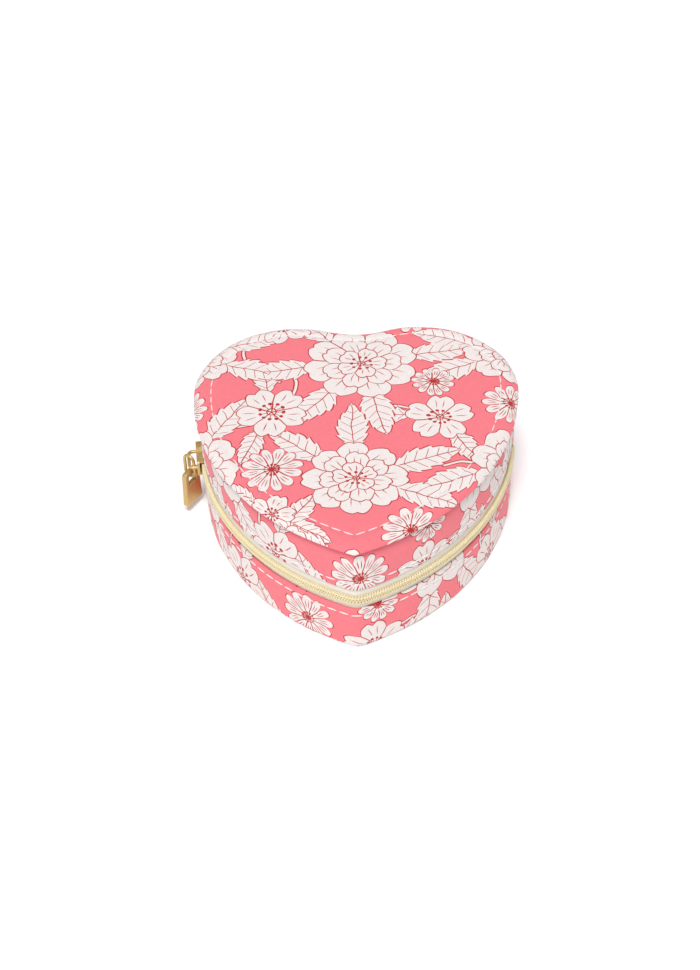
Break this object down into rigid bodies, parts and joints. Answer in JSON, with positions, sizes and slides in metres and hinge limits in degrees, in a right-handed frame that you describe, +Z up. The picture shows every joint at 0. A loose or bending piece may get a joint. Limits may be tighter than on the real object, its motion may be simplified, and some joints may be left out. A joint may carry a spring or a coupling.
{
  "type": "heart-shaped zip jewellery case",
  "caption": "Heart-shaped fabric-covered jewellery case with a hinged padded lid, a zip round the wall and ring rolls, dividers and a mirror inside.",
  "frame": {"origin": "on the table, under the middle of the heart's width and depth", "axes": "+X across the heart, +Y towards the hinge at the back, +Z up"},
  "size_m": [0.1242, 0.1214, 0.05],
  "materials": {
    "print_cotton": "matte printed cotton",
    "wadding": "soft wadding",
    "board": "grey board",
    "velvet": "short-pile velvet",
    "zip_tape": "woven tape",
    "zip_coil": "nylon coil",
    "mirror_glass": "polished",
    "gold_metal": "light gold plating"
  },
  "bodies": {
    "base": {"base_bottom_cover": "print_cotton", "base_board": "board", "base_wall_cover": "print_cotton", "base_wall_board": "board", "base_wall_lining": "velvet", "base_floor_pad": "velvet", "ring_roll_1": "velvet", "ring_roll_2": "velvet", "ring_roll_3": "velvet", "ring_roll_4": "velvet", "cross_divider": "velvet", "tip_divider": "velvet", "zip_tape_lower": "zip_tape", "zip_teeth_lower": "zip_coil", "zip_bottom_stop": "gold_metal", "zip_top_stop_lower": "gold_metal", "hinge_strip": "print_cotton", "hinge_lining": "velvet"},
    "lid": {"lid_top_cover": "print_cotton", "lid_top_pad": "wadding", "lid_board": "board", "lid_wall_cover": "print_cotton", "lid_wall_board": "board", "lid_lining": "velvet", "mirror": "mirror_glass", "zip_tape_upper": "zip_tape", "zip_teeth_upper": "zip_coil", "zip_top_stop_upper": "gold_metal"},
    "slider": {"slider_body": "gold_metal", "slider_bridge": "gold_metal"},
    "link": {"pull_link": "gold_metal"},
    "pull": {"pull_tab": "gold_metal"}
  },
  "joints": [
    {"name": "lid_hinge", "type": "hinge", "parent": "base", "child": "lid", "pos_m": [0, 0.05964, 0.0235], "axis": [-1, 0, 0], "range_deg": [0, 105], "deforming": ["zip_tape_lower", "zip_teeth_lower", "zip_tape_upper", "zip_teeth_upper", "hinge_strip", "hinge_lining"]},
    {"name": "slider_travel", "type": "hinge", "parent": "base", "child": "slider", "pos_m": [0.0345, 0.02514, 0.0235], "axis": [0, 0, 1], "range_deg": [0, 55.7]},
    {"name": "link_swing", "type": "hinge", "parent": "slider", "child": "link", "pos_m": [-0.06251, 0.01446, 0.0235], "axis": [0.5257, 0.8506, 0], "range_deg": [0, 100]},
    {"name": "tab_swing", "type": "hinge", "parent": "link", "child": "pull", "pos_m": [-0.06251, 0.01446, 0.0179], "axis": [0.5257, 0.8506, 0], "range_deg": [-5, 80]}
  ]
}
